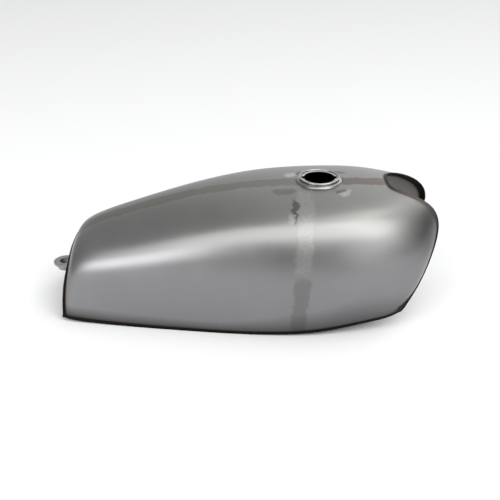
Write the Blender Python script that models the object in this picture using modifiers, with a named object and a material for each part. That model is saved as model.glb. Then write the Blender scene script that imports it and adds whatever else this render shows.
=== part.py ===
"""Welded sheet-steel motorcycle fuel tank: four pressed outer panels with ground welds, an inner
pan with a frame tunnel, a bayonet filler neck, mounts and fuel outlets. Front is +X, up is +Z."""

import math

import bmesh
import bpy
import numpy as np

MM = 0.001

# Driving dimensions, in millimetres.
SHEET = 1.0  # outer skin and pan sheet
GAP = 0.3  # clearance kept between neighbouring pieces
LIP = 5.5  # width of the pinch-welded lip along every edge
LIP_FLARE = 0.32  # outward lean of the lip, as a share of its width
WELD_WIDTH = 2.4  # ground butt weld between panels
SIDE_WELD_X = 342.0  # station of the vertical welds
FILLER_X = 370.0
FILLER_Z = 184.2  # crest height at the filler
BASE_RING_R = 33.0
NECK_R = 27.8
RIM_R = 29.0
BORE_R = 21.4
NOTCH_R = 25.6
NOTCH_WIDTH = 10.0
TAB_R = 17.0
TAB_HOLE_R = 8.5
TAB_Z = 55.0
CUP_X = 395.0
CUP_Z = 74.0
OUTLET_X = 120.0
OUTLET_Y = 66.0
ORIGIN_X = 257.8  # the shared frame has its origin under the middle of the tank
SKIN_STATIONS = 28
SKIN_RINGS = 18

# Outer skin, left half: one row per station from the rear rim to the front rim, each from the
# crest over the crown, brow, shoulder, belt, flank and tuck down to the seam (x, y, z).
SKIN = [
    [(17, 0, 97), (17, 24, 96.5), (17, 50, 89), (15, 64, 73),
     (12, 69, 57), (10, 73, 38), (9, 76, 21), (9, 77, 10)],
    [(22, 0, 110), (22, 28, 109), (22, 59, 97), (21, 72, 78),
     (18, 75, 59), (16, 78, 38), (15, 80, 20), (15, 80, 9)],
    [(46, 0, 127), (46, 31, 125), (46, 71, 105), (46, 83, 80),
     (46, 84, 60), (46, 84, 41), (46, 85, 20), (46, 85, 7)],
    [(110, 0, 147), (110, 36, 146), (110, 83, 120), (110, 96, 90),
     (110, 97, 69), (110, 97, 47), (110, 97, 23), (110, 95, 5)],
    [(190, 0, 170), (190, 42, 169), (190, 92, 147), (190, 109, 114),
     (190, 112, 88), (190, 112, 58), (190, 110, 28), (190, 106, 5)],
    [(275, 0, 183), (275, 47, 182), (275, 96, 170), (275, 119, 136),
     (275, 126, 103), (275, 128, 67), (275, 126, 30), (275, 117, 5)],
    [(360, 0, 186), (360, 49, 185), (360, 98, 175), (360, 123, 142),
     (360, 132, 107), (360, 134, 71), (360, 131, 36), (360, 121, 9)],
    [(425, 0, 186), (425, 46, 186), (428, 92, 177), (434, 116, 146),
     (441, 125, 110), (441, 127, 76), (436, 122, 43), (426, 113, 21)],
    [(457, 0, 185), (457, 38, 184), (477, 66, 177), (501, 82, 151),
     (511, 93, 119), (508, 101, 84), (494, 105, 49), (468, 104, 25)],
    [(463, 0, 184), (463, 32, 184), (489, 44, 180), (523, 47, 164),
     (535, 50, 136), (525, 66, 99), (507, 84, 61), (484, 97, 32)],
]

# Tunnel mouths, left half, from the middle of the roof down to the bottom edge.
TUNNEL_REAR = [
    (22, 0, 42), (22, 17, 41.5), (21.5, 31, 38), (21, 38, 31),
    (19, 40, 25), (17, 40, 20), (16, 40, 17), (15, 40, 14),
]
TUNNEL_FRONT = [
    (440, 0, 118), (440, 18, 117), (440, 34, 111), (440, 43, 96),
    (440, 45, 78), (440, 45, 62), (440, 45, 50), (440, 45, 42),
]
TUNNEL_STATIONS = 12


def material(name, colour, metallic, roughness):
    made = bpy.data.materials.new(name)
    made.use_nodes = True
    shader = made.node_tree.nodes["Principled BSDF"]
    shader.inputs["Base Color"].default_value = (*colour, 1.0)
    shader.inputs["Metallic"].default_value = metallic
    shader.inputs["Roughness"].default_value = roughness
    made.diffuse_color = (*colour, 1.0)
    return made


def basis(t):
    return np.array([(1 - t) ** 3, 3 * t**3 - 6 * t**2 + 4, -3 * t**3 + 3 * t**2 + 3 * t + 1, t**3]) / 6


def spline(points, count, mirrored=False):
    """Points along the uniform cubic B-spline of the rows; it starts and ends on the outer rows."""
    rows = np.asarray(points, float)
    first = rows[1] * [1, -1, 1] if mirrored else 2 * rows[0] - rows[1]
    rows = np.concatenate([[first], rows, [2 * rows[-1] - rows[-2]]])
    spans = len(rows) - 3
    found = []
    for s in np.linspace(0, spans, count):
        k = min(int(s), spans - 1)
        found.append(np.tensordot(basis(s - k), rows[k : k + 4], 1))
    return np.array(found)


def unit(v):
    return v / np.linalg.norm(v, axis=-1, keepdims=True)


def mirror_join(grid):
    """The grid [station][ring] with its mirror image put before it, sharing the centre line."""
    return np.concatenate([grid[:, :0:-1] * [1, -1, 1], grid], axis=1)


def add_sheet(name, grid, look, thickness=SHEET, flip=False):
    """An open sheet through the grid, thickened away from its facing side."""
    rows, columns = grid.shape[:2]
    points = (grid.reshape(-1, 3) - [ORIGIN_X, 0, 0]) * MM
    faces = []
    for i in range(rows - 1):
        for j in range(columns - 1):
            a = i * columns + j
            face = (a, a + 1, a + columns + 1, a + columns)
            faces.append(face[::-1] if flip else face)
    mesh = bpy.data.meshes.new(name)
    mesh.from_pydata([tuple(p) for p in points], [], faces)
    mesh.materials.append(look)
    made = bpy.data.objects.new(name, mesh)
    parts.objects.link(made)
    solid = made.modifiers.new("Sheet", "SOLIDIFY")
    solid.thickness = thickness * MM
    solid.offset = -1
    solid.use_even_offset = False
    return made


def trim(made, point, normal):
    """Keeps the side of the plane that the normal points away from."""
    bm = bmesh.new()
    bm.from_mesh(made.data)
    place = [(point[0] - ORIGIN_X) * MM, point[1] * MM, point[2] * MM]
    geometry = bm.verts[:] + bm.edges[:] + bm.faces[:]
    bmesh.ops.bisect_plane(bm, geom=geometry, dist=1e-7, plane_co=place, plane_no=normal, clear_outer=True)
    bm.to_mesh(made.data)
    bm.free()


def add_prism(name, outline, axis, low, high, look, home=None):
    """A straight prism: the outline lies across the named axis and runs from low to high along it."""
    bm = bmesh.new()
    for level in (low, high):
        for u, v in outline:
            place = {"X": (level, u, v), "Y": (u, level, v), "Z": (u, v, level)}[axis]
            bm.verts.new(((place[0] - ORIGIN_X) * MM, place[1] * MM, place[2] * MM))
    bm.verts.ensure_lookup_table()
    n = len(outline)
    bm.faces.new(bm.verts[:n])
    bm.faces.new(bm.verts[n:])
    for i in range(n):
        j = (i + 1) % n
        bm.faces.new((bm.verts[i], bm.verts[j], bm.verts[n + j], bm.verts[n + i]))
    bmesh.ops.recalc_face_normals(bm, faces=bm.faces[:])
    mesh = bpy.data.meshes.new(name)
    bm.to_mesh(mesh)
    bm.free()
    if look:
        mesh.materials.append(look)
    made = bpy.data.objects.new(name, mesh)
    (home or parts).objects.link(made)
    return made


def add_lathe(name, profile, centre, look, home=None, steps=48):
    """A turned piece from a closed profile of (radius, height), listed down its outer side first."""
    mesh = bpy.data.meshes.new(name)
    points = [(r * MM, 0, z * MM) for r, z in profile]
    edges = [(i, (i + 1) % len(profile)) for i in range(len(profile))]
    mesh.from_pydata(points, edges, [])
    if look:
        mesh.materials.append(look)
    made = bpy.data.objects.new(name, mesh)
    made.location = ((centre[0] - ORIGIN_X) * MM, centre[1] * MM, centre[2] * MM)
    (home or parts).objects.link(made)
    turn = made.modifiers.new("Turn", "SCREW")
    turn.angle = math.tau
    turn.steps = steps
    turn.render_steps = steps
    turn.use_merge_vertices = True
    turn.merge_threshold = 0.00001
    return made


def add_cylinder(name, centre, radius, low, high, look, home=None, steps=48):
    ring = [math.tau * i / steps for i in range(steps)]
    outline = [(centre[0] + radius * math.cos(a), centre[1] + radius * math.sin(a)) for a in ring]
    return add_prism(name, outline, "Z", low, high, look, home)


def cut(made, cutter, operation="DIFFERENCE"):
    step = made.modifiers.new(cutter.name, "BOOLEAN")
    step.operation = operation
    step.solver = "EXACT"
    step.object = cutter


def slot_outline(u, v, half_length, radius, steps=12):
    """A stadium about (u, v), long in u."""
    outline = []
    for middle, start in ((u + half_length, -math.pi / 2), (u - half_length, math.pi / 2)):
        outline += [(middle + radius * math.cos(a), v + radius * math.sin(a)) for a in half_turn(start, steps)]
    return outline


def half_turn(start, steps):
    """Angles through half a turn."""
    return [start + math.pi * i / steps for i in range(steps + 1)]


for old in list(bpy.data.objects):
    bpy.data.objects.remove(old)
scene = bpy.context.scene
parts = bpy.data.collections.new("motorcycle_fuel_tank")
cutters = bpy.data.collections.new("cutters")
scene.collection.children.link(parts)
scene.collection.children.link(cutters)
cutters.hide_render = True

bare_steel = material("bare_steel", (0.42, 0.42, 0.40), 1.0, 0.32)
ground_steel = material("ground_weld", (0.50, 0.49, 0.46), 1.0, 0.45)
pan_steel = material("pan_steel", (0.28, 0.27, 0.28), 1.0, 0.5)
plated = material("plated_steel", (0.66, 0.66, 0.66), 1.0, 0.22)
bracket_steel = material("bracket_steel", (0.38, 0.38, 0.37), 1.0, 0.45)

# Outer skin: a smooth loft through the stations, with a lip turned out along every free edge.
stations = [spline(ring, SKIN_RINGS, mirrored=True) for ring in SKIN]
skin = spline(stations, SKIN_STATIONS)
# The crest row and the ring rows run square to each other, so the normal is their cross product.
along = unit(np.gradient(skin, axis=0))
across = unit(np.gradient(skin, axis=1))
outward = unit(np.cross(along, across))
if outward[14, 14, 1] < 0:
    outward = -outward
rear_lip = unit(-along[0] + LIP_FLARE * outward[0]) * LIP
front_lip = unit(along[-1] + LIP_FLARE * outward[-1]) * LIP
seam_lip = unit(across[:, -1] + LIP_FLARE * outward[:, -1]) * LIP
lipped = np.zeros((SKIN_STATIONS + 2, SKIN_RINGS + 1, 3))
lipped[1:-1, :-1] = skin
lipped[0, :-1] = skin[0] + rear_lip
lipped[-1, :-1] = skin[-1] + front_lip
lipped[1:-1, -1] = skin[:, -1] + seam_lip
lipped[0, -1] = skin[0, -1] + rear_lip[-1] + seam_lip[0]
lipped[-1, -1] = skin[-1, -1] + front_lip[-1] + seam_lip[-1]
lipped[:, :, 2] = np.maximum(lipped[:, :, 2], 0.02)
full_skin = mirror_join(lipped)

hole = add_cylinder("filler_hole", (FILLER_X, 0), BASE_RING_R + GAP, 150, 220, None, cutters, 64)
half_weld = WELD_WIDTH / 2
edge = half_weld + GAP
left, right, front, rear = (0, 1, 0), (0, -1, 0), (1, 0, 0), (-1, 0, 0)
for name, side, end in (
    ("skin_front_right", -1, 1),
    ("skin_front_left", 1, 1),
    ("skin_rear_right", -1, -1),
    ("skin_rear_left", 1, -1),
):
    panel = add_sheet(name, full_skin, bare_steel)
    trim(panel, (0, side * edge, 0), (0, -side, 0))
    trim(panel, (SIDE_WELD_X + end * edge, 0, 0), (-end, 0, 0))
    cut(panel, hole)

# Butt welds, ground flush: one along the crest before and behind the filler, one down each side.
for name, end in (("weld_top_front", 1), ("weld_top_rear", -1)):
    bead = add_sheet(name, full_skin, ground_steel)
    trim(bead, (0, half_weld, 0), left)
    trim(bead, (0, -half_weld, 0), right)
    trim(bead, (FILLER_X + end * 5, 0, 0), (-end, 0, 0))
    cut(bead, hole)
for name, side in (("weld_side_right", -1), ("weld_side_left", 1)):
    bead = add_sheet(name, full_skin, ground_steel)
    trim(bead, (0, side * 6, 0), (0, -side, 0))
    trim(bead, (SIDE_WELD_X + half_weld, 0, 0), front)
    trim(bead, (SIDE_WELD_X - half_weld, 0, 0), rear)
    cut(bead, hole)

# Inner pan: it starts as a lip against the inside of the skin's lip, folds into the tank and runs
# to the tunnel. One loop of edge points goes down the rear rim, along the seam and up the front.
inset = SHEET + GAP
loop_edge = np.concatenate([skin[0, :-1], skin[:, -1], skin[-1, -2::-1]])
loop_out = np.concatenate([outward[0, :-1], outward[:, -1], outward[-1, -2::-1]])
loop_lip = np.concatenate([rear_lip[:-1], seam_lip, front_lip[-2::-1]])
corner_rear = SKIN_RINGS - 1
corner_front = corner_rear + SKIN_STATIONS - 1
loop_lip[corner_rear] = rear_lip[-1] + seam_lip[0]
loop_lip[corner_front] = front_lip[-1] + seam_lip[-1]
mouth_rear = spline(TUNNEL_REAR, SKIN_RINGS, mirrored=True)
mouth_front = spline(TUNNEL_FRONT, SKIN_RINGS, mirrored=True)
seam_share = (skin[:, -1, 0] - skin[0, -1, 0]) / (skin[-1, -1, 0] - skin[0, -1, 0])
bottom_line = mouth_rear[-1] + seam_share[:, None] * (mouth_front[-1] - mouth_rear[-1])
bottom_line[:, 2] = mouth_rear[-1, 2] + (mouth_front[-1, 2] - mouth_rear[-1, 2]) * seam_share**2.5
loop_inner = np.concatenate([mouth_rear[:-1], bottom_line, mouth_front[-2::-1]])
# The lips stand a little further apart round the front corner, where the sheet curves most.
ease = np.exp(-(((np.arange(len(loop_edge)) - corner_front) / 1.8) ** 2))[:, None]
root = loop_edge - loop_out * (inset + 1.8 * ease)
tip = root + loop_lip
tip[:, 2] = np.maximum(tip[:, 2], 0.6)
inward = unit(loop_inner - root)
back = -unit(loop_lip)
back[corner_rear] = -unit(rear_lip[-1]) - unit(seam_lip[0])
back[corner_front] = -unit(front_lip[-1]) - unit(seam_lip[-1])
back -= (back * inward).sum(1, keepdims=True) * inward
fold_a = root + 3.0 * inward + 4.0 * back
fold_b = root + 9.0 * inward + 6.5 * back
# Columns beside the rear corner stay above the fold that the floor makes there.
climb = np.minimum(1.2 * (corner_rear - np.arange(corner_rear)), 3.0)
for fold in (fold_a, fold_b):
    fold[:corner_rear, 2] = np.maximum(fold[:corner_rear, 2], fold[corner_rear, 2] + climb)
rows = [tip, root, fold_a, fold_b]
for share in (0.35, 0.68, 1.0):
    rows.append(fold_b + (loop_inner - fold_b) * share)
pan_half = np.array(rows)

pan_left = add_sheet("pan_left", pan_half, pan_steel, flip=True)
trim(pan_left, (0, edge, 0), right)
pan_right = add_sheet("pan_right", pan_half * [1, -1, 1], pan_steel, flip=False)
trim(pan_right, (0, -edge, 0), left)

# The pan halves meet in butt welds down the rear wall and down the front apron.
for name, columns in (("weld_rear_wall", slice(0, 2)), ("weld_front_apron", slice(-1, -3, -1))):
    strip = mirror_join(pan_half[:, columns])
    bead = add_sheet(name, strip, ground_steel, flip=columns.step is None)
    trim(bead, (0, half_weld, 0), left)
    trim(bead, (0, -half_weld, 0), right)

# Frame tunnel: a folded channel from the rear mouth to the front mouth.
shares = np.linspace(0, 1, TUNNEL_STATIONS)[:, None, None]
channel = mouth_rear[None] + (mouth_front - mouth_rear)[None] * shares
channel[:, :, 2] += (np.sin(shares[:, :, 0] * math.pi) * 14) * (np.linspace(1, 0, SKIN_RINGS)[None] ** 0.5)
slim = 1.0
channel[:, :, 1] = np.maximum(channel[:, :, 1] - slim * (channel[:, :, 1] > 20), 0)
channel[:, :, 2] -= slim * (channel[:, :, 1] <= 30)
channel[0, :, 0] += 1.2
channel[-1, :, 0] -= 1.2
add_sheet("tunnel", mirror_join(channel), pan_steel, flip=False)

# Filler: a turned base ring set in the panels, a necked tube with a rolled rim, and the bayonet ring.
add_lathe(
    "filler_base_ring",
    [(BASE_RING_R, 1.0), (BASE_RING_R, -8.0), (28.2, -8.0), (28.2, 2.6), (29.6, 2.6), (31.6, 2.2)],
    (FILLER_X, 0, FILLER_Z),
    plated,
)
add_lathe(
    "filler_neck",
    [
        (RIM_R, 5.5), (RIM_R, 4.7), (28.5, 4.1), (NECK_R, 3.7), (NECK_R, -16.0),
        (26.8, -16.0), (26.8, 6.8), (27.4, 7.1), (28.3, 6.8),
    ],
    (FILLER_X, 0, FILLER_Z),
    plated,
)
cam_ring = add_lathe(
    "filler_cam_ring",
    [(26.4, 5.8), (26.4, 4.6), (22.8, 4.4), (22.8, -4.0), (BORE_R, -4.0), (BORE_R, 4.8), (22.4, 5.8)],
    (FILLER_X, 0, FILLER_Z),
    plated,
)
notch = add_prism(
    "bayonet_notch",
    slot_outline(FILLER_X, 0, NOTCH_R - NOTCH_WIDTH / 2, NOTCH_WIDTH / 2),
    "Z", FILLER_Z - 10, FILLER_Z + 12, None, cutters,
)
cut(cam_ring, notch)

# Rear mount: an eye tab bent up against the rear wall, with a collar under the eye.
tip_x = -3.1
tab_outline = [(19.7, -TAB_R), (19.7, TAB_R)]
tab_outline += [(tip_x + TAB_R * math.cos(a), TAB_R * math.sin(a)) for a in half_turn(math.pi / 2, 16)]
tab = add_prism("rear_mount_tab", tab_outline, "Z", TAB_Z - 1.5, TAB_Z + 1.5, bracket_steel)
tab_leg = add_prism(
    "tab_leg", [(16.7, TAB_Z), (19.7, TAB_Z), (19.7, TAB_Z + 20), (16.7, TAB_Z + 20)],
    "Y", -TAB_R + 0.01, TAB_R - 0.01, None, cutters,
)
tab_hole = add_cylinder("tab_hole", (tip_x, 0), TAB_HOLE_R, TAB_Z - 10, TAB_Z + 10, None, cutters, 32)
cut(tab, tab_leg, "UNION")
cut(tab, tab_hole)
add_lathe(
    "rear_mount_collar",
    [(11.5, -1.8), (11.5, -9.5), (TAB_HOLE_R, -9.5), (TAB_HOLE_R, -1.8)],
    (tip_x, 0, TAB_Z),
    bracket_steel,
    steps=32,
)

# Front mounts: open channel cups inside the tunnel that slide over the frame's rubber buffers.
for name, side in (("front_mount_cup_right", -1), ("front_mount_cup_left", 1)):
    outer = [(CUP_X + 17, CUP_Z + 16), (CUP_X - 4, CUP_Z + 16)]
    outer += [(CUP_X - 4 + 16 * math.cos(a), CUP_Z + 16 * math.sin(a)) for a in half_turn(math.pi / 2, 10)]
    outer += [(CUP_X + 17, CUP_Z - 16), (CUP_X + 17, CUP_Z - 13.5)]
    outer += [
        (CUP_X - 4 + 13.5 * math.cos(a), CUP_Z + 13.5 * math.sin(a)) for a in half_turn(math.pi / 2, 10)[::-1]
    ]
    outer += [(CUP_X + 17, CUP_Z + 13.5)]
    outer = [outer[0]] + outer[2:]
    low, high = sorted((side * 27.0, side * 40.5))
    add_prism(name, outer, "Y", low, high, bracket_steel)

# Fuel outlets: a drilled flange under each floor with a spigot up through it and two tapped holes.
for side, word in ((-1, "right"), (1, "left")):
    place = (OUTLET_X, side * OUTLET_Y)
    flange = add_prism(
        "outlet_boss_" + word, slot_outline(*place, 17, 9), "Z", 2.0, 7.0, bracket_steel
    )
    spigot = add_cylinder("spigot_" + word, place, 8.6, 5.0, 16.0, None, cutters, 32)
    bore = add_cylinder("bore_" + word, place, 6.6, -5.0, 25.0, None, cutters, 32)
    cut(flange, spigot, "UNION")
    cut(flange, bore)
    for end in (-17, 17):
        tapped = add_cylinder(
            f"tapped_{word}_{end}", (OUTLET_X + end, side * OUTLET_Y), 3.0, -5.0, 6.0, None, cutters, 16
        )
        cut(flange, tapped)
    floor_hole = add_cylinder("floor_hole_" + word, place, 9.0, -5.0, 25.0, None, cutters, 32)
    cut(pan_left if side > 0 else pan_right, floor_hole)

for cutter in cutters.objects:
    cutter.hide_render = True
    cutter.display_type = "WIRE"
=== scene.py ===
import math

import bpy
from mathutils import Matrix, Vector

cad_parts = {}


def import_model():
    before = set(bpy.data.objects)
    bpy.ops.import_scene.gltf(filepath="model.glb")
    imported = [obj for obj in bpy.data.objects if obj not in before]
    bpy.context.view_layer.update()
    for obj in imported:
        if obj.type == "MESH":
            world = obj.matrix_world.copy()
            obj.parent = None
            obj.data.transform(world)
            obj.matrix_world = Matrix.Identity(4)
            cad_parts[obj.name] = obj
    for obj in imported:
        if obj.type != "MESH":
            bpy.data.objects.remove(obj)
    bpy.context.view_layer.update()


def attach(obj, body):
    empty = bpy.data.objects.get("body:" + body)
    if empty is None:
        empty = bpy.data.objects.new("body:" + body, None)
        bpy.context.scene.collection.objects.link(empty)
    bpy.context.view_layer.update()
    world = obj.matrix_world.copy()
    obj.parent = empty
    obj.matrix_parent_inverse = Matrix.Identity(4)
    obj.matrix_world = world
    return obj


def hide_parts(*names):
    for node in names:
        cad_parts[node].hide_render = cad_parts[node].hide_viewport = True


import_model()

# Outer skin. Four panels of 1 mm deep-drawing steel, pressed to shape, butt welded along the crest
# and down each side, and ground flush. Their edges turn out into a lip that is pinch welded to the
# inner pan. The sheet is bare and rubbed down, so it is satin, with straw heat tint by the welds.
MM = 0.001
MIDDLE_X = 257.8  # stations are counted from the rear corner, in millimetres
SHEET = 1.0
LIP = 5.5
LIP_FLARE = 0.32
CLIPPED_CORNER = 0.35  # how much of the lip is left at its front bottom corners
FLOOR_GAP = 0.3
FILLER = (370.0, 0.0, 184.2)
BASE_RING_R = 33.0
RING_CLEARANCE = 0.15
SIDE_WELD_X = 342.0
HALF_WELD = 1.2

# Each pair of lines is a section of the left half, from the crest over crown, brow, shoulder,
# belt, flank and tuck to the seam.
SECTIONS = (
    ((17, 0, 97), (17, 24, 96.5), (17, 50, 89), (15, 64, 73),
     (12, 69, 57), (10, 73, 38), (9, 76, 21), (9, 77, 10)),
    ((22, 0, 110), (22, 28, 109), (22, 59, 97), (21, 72, 78),
     (18, 75, 59), (16, 78, 38), (15, 80, 20), (15, 80, 9)),
    ((46, 0, 127), (46, 31, 125), (46, 71, 105), (46, 83, 80),
     (46, 84, 60), (46, 84, 41), (46, 85, 20), (46, 85, 7)),
    ((110, 0, 147), (110, 36, 146), (110, 83, 120), (110, 96, 90),
     (110, 97, 69), (110, 97, 47), (110, 97, 23), (110, 95, 5)),
    ((190, 0, 170), (190, 42, 169), (190, 92, 147), (190, 109, 114),
     (190, 112, 88), (190, 112, 58), (190, 110, 28), (190, 106, 5)),
    ((275, 0, 183), (275, 47, 182), (275, 96, 170), (275, 119, 136),
     (275, 126, 103), (275, 128, 67), (275, 126, 30), (275, 117, 5)),
    ((360, 0, 186), (360, 49, 185), (360, 98, 175), (360, 123, 142),
     (360, 132, 107), (360, 134, 71), (360, 131, 36), (360, 121, 9)),
    ((425, 0, 186), (425, 46, 186), (428, 92, 177), (434, 116, 146),
     (441, 125, 110), (441, 127, 76), (436, 122, 43), (426, 113, 21)),
    ((457, 0, 185), (457, 38, 184), (477, 66, 177), (501, 82, 151),
     (511, 93, 119), (508, 101, 84), (494, 105, 49), (468, 104, 25)),
    ((463, 0, 184), (463, 32, 184), (489, 44, 180), (523, 47, 164),
     (535, 50, 136), (525, 66, 99), (507, 84, 61), (484, 97, 32)),
)


def world(point):
    """A point given as station, side and height in millimetres, in the shared frame in metres."""
    return Vector(((point[0] - MIDDLE_X) * MM, point[1] * MM, point[2] * MM))


def deselect():
    """Leaves edit mode and lets go of everything."""
    if bpy.context.object and bpy.context.object.mode != "OBJECT":
        bpy.ops.object.mode_set(mode="OBJECT")
    bpy.ops.object.select_all(action="DESELECT")


def pick(piece):
    """Makes the piece the only one that the next operator works on."""
    deselect()
    piece.select_set(True)
    bpy.context.view_layer.objects.active = piece


def apply_modifiers(piece):
    pick(piece)
    for step in list(piece.modifiers):
        bpy.ops.object.modifier_apply(modifier=step.name)


def set_place(piece):
    """Puts the piece's place and turn into its mesh."""
    pick(piece)
    bpy.ops.object.transform_apply(location=True, rotation=True, scale=True)


def finish_piece(piece, material, slot, *nodes, angle=40):
    """Gives the piece its material and smooth shading, and puts it in place of its nodes."""
    piece.data.materials.clear()
    piece.data.materials.append(material)
    pick(piece)
    bpy.ops.object.shade_smooth_by_angle(angle=math.radians(angle))
    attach(piece, "root")
    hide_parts(*nodes)


def mirrored(points):
    """The whole row, from the left end over the middle to the right end."""
    return list(points[::-1]) + [Vector((p.x, -p.y, p.z)) for p in points[1:]]


# The cage of sections, left to right; below, the way that each edge point's lip runs.
cage = [mirrored([world(p) for p in section]) for section in SECTIONS]
rows, columns = len(cage), len(cage[0])


def outward(i, j):
    """The way out of the skin at a cage point."""
    along = cage[min(i + 1, rows - 1)][j] - cage[max(i - 1, 0)][j]
    across = cage[i][min(j + 1, columns - 1)] - cage[i][max(j - 1, 0)]
    return across.cross(along).normalized()


def lip_step(i, j, inner):
    """From an edge point to the free edge of the lip beside it."""
    away = (cage[i][j] - inner).normalized()
    return (away + LIP_FLARE * outward(i, j)).normalized() * LIP * MM


rear_lip = [lip_step(0, j, cage[1][j]) for j in range(columns)]
front_lip = [lip_step(rows - 1, j, cage[rows - 2][j]) for j in range(columns)]
left_lip = [lip_step(i, 0, cage[i][1]) for i in range(rows)]
right_lip = [lip_step(i, columns - 1, cage[i][columns - 2]) for i in range(rows)]


def skin_point(i, j):
    """A cage point with its lip: i and j run from -1, the first lip row, to one past the last."""
    ci, cj = min(max(i, 0), rows - 1), min(max(j, 0), columns - 1)
    point = cage[ci][cj].copy()
    if i < 0:
        point += rear_lip[cj]
    if j < 0:
        point += left_lip[ci]
    if j == columns:
        point += right_lip[ci]
    if i == rows:
        on_corner = j in (-1, columns)
        point += front_lip[cj] * (CLIPPED_CORNER if on_corner else 1.0)
    point.z = max(point.z, FLOOR_GAP * MM)
    return point


def edge_distance(i, j):
    """Millimetres from the fold of the lip: below zero on the lip itself."""
    if i in (-1, rows) or j in (-1, columns):
        return -LIP
    ends = (cage[0][j], cage[rows - 1][j], cage[i][0], cage[i][columns - 1])
    return min((cage[i][j] - end).length for end in ends) / MM


def seam_distance(i, j):
    """Millimetres from the fold along the bottom seam alone."""
    if j in (-1, columns):
        return -LIP
    ci = min(max(i, 0), rows - 1)
    return min((cage[ci][j] - end).length for end in (cage[ci][0], cage[ci][columns - 1])) / MM


def shape_grid(name, row_count, column_count, place, folds, levels, values, crease_value=0.62):
    """A smoothed sheet: place gives a point for each row and column, folds are the creased rows
    and columns, and values are named measures that the finish reads at each point."""
    deselect()
    bpy.ops.mesh.primitive_grid_add(
        x_subdivisions=column_count - 1, y_subdivisions=row_count - 1, size=1
    )
    made = bpy.context.object
    made.name = name
    mesh = made.data
    crease = mesh.attributes.new("crease_edge", "FLOAT", "EDGE")
    for v in mesh.vertices:
        v.co = place(*divmod(v.index, column_count))
    for label, value in values:
        layer = mesh.attributes.new(label, "FLOAT", "POINT")
        for v in mesh.vertices:
            layer.data[v.index].value = value(*divmod(v.index, column_count))
    fold_rows, fold_columns = folds
    for e in mesh.edges:
        (i, j), (k, m) = (divmod(v, column_count) for v in e.vertices)
        if i == k and i in fold_rows or j == m and j in fold_columns:
            crease.data[e.index].value = crease_value
    smooth = made.modifiers.new("Smooth", "SUBSURF")
    smooth.levels = smooth.render_levels = levels
    smooth.boundary_smooth = "PRESERVE_CORNERS"
    apply_modifiers(made)
    return made


whole_skin = shape_grid(
    "whole_skin",
    rows + 2,
    columns + 2,
    lambda i, j: skin_point(i - 1, j - 1),
    ((1, rows), (1, columns)),
    4,
    (
        ("from_fold", lambda i, j: edge_distance(i - 1, j - 1)),
        ("from_seam", lambda i, j: seam_distance(i - 1, j - 1)),
    ),
)


def cut_away(piece, point, normal):
    """Takes off what lies on the side of the plane that the normal points to."""
    pick(piece)
    bpy.ops.object.mode_set(mode="EDIT")
    bpy.ops.mesh.select_all(action="SELECT")
    bpy.ops.mesh.bisect(plane_co=world(point), plane_no=normal, clear_outer=True, threshold=1e-7)
    bpy.ops.object.mode_set(mode="OBJECT")


def copy_of(piece, name):
    """A copy with a mesh of its own."""
    made = piece.copy()
    made.data = piece.data.copy()
    made.name = name
    bpy.context.collection.objects.link(made)
    return made


def thicken(piece):
    """Gives the sheet its thickness, on the side away from its normals."""
    wall = piece.modifiers.new("Wall", "SOLIDIFY")
    wall.thickness = SHEET * MM
    wall.offset = -1
    apply_modifiers(piece)


def combine(piece, other, operation="DIFFERENCE"):
    """Cuts the other shape out of the piece, or joins them, or keeps what they share."""
    step = piece.modifiers.new("Combine", "BOOLEAN")
    step.solver = "EXACT"
    step.operation = operation
    step.object = other
    apply_modifiers(piece)


def add_round(name, centre, radius, depth, steps=96):
    """A round bar with its middle at the centre, standing up."""
    deselect()
    bpy.ops.mesh.primitive_cylinder_add(
        vertices=steps, radius=radius * MM, depth=depth * MM, location=world(centre)
    )
    made = bpy.context.object
    made.name = name
    set_place(made)
    return made


filler_cutter = add_round("filler_cutter", FILLER, BASE_RING_R + RING_CLEARANCE, 60, 128)


def rgb(code):
    """Linear colour of an sRGB hex value."""
    parts = [int(code[i : i + 2], 16) / 255 for i in (0, 2, 4)]
    return tuple(p / 12.92 if p <= 0.04045 else ((p + 0.055) / 1.055) ** 2.4 for p in parts) + (1.0,)


def start_material(name, colour, metallic, roughness):
    """A material and its shader, with the values that are the same all over."""
    made = bpy.data.materials.new(name)
    made.use_nodes = True
    shader = made.node_tree.nodes["Principled BSDF"]
    shader.inputs["Base Color"].default_value = rgb(colour)
    shader.inputs["Metallic"].default_value = metallic
    shader.inputs["Roughness"].default_value = roughness
    made.diffuse_color = rgb(colour)
    return made, shader


def link(material, source, node, key):
    """Links a source, which is an output or a node with one output in use, to a node's input."""
    if hasattr(source, "outputs"):
        source = next(o for o in source.outputs if o.enabled)
    material.node_tree.links.new(source, node.inputs[key])


def per(millimetres):
    """The scale of a pattern whose features are about this far apart."""
    return 1 / (millimetres * MM)


# Inputs are named, or numbered from 0: a MapRange reads its value from 1..2 and gives 3..4, which
# are 0..1 unless set, and a Mix of colours goes from 6 to 7 by its share, 0.
def add_node(material, kind, settings=(), links=()):
    """Adds a node: settings are its fields or input values, links are (source, input) pairs."""
    node = material.node_tree.nodes.new("ShaderNode" + kind)
    for key, value in dict(settings).items():
        if isinstance(key, str) and hasattr(node, key):
            setattr(node, key, value)
        else:
            node.inputs[key].default_value = value
    for source, key in links:
        link(material, source, node, key)
    return node


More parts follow.
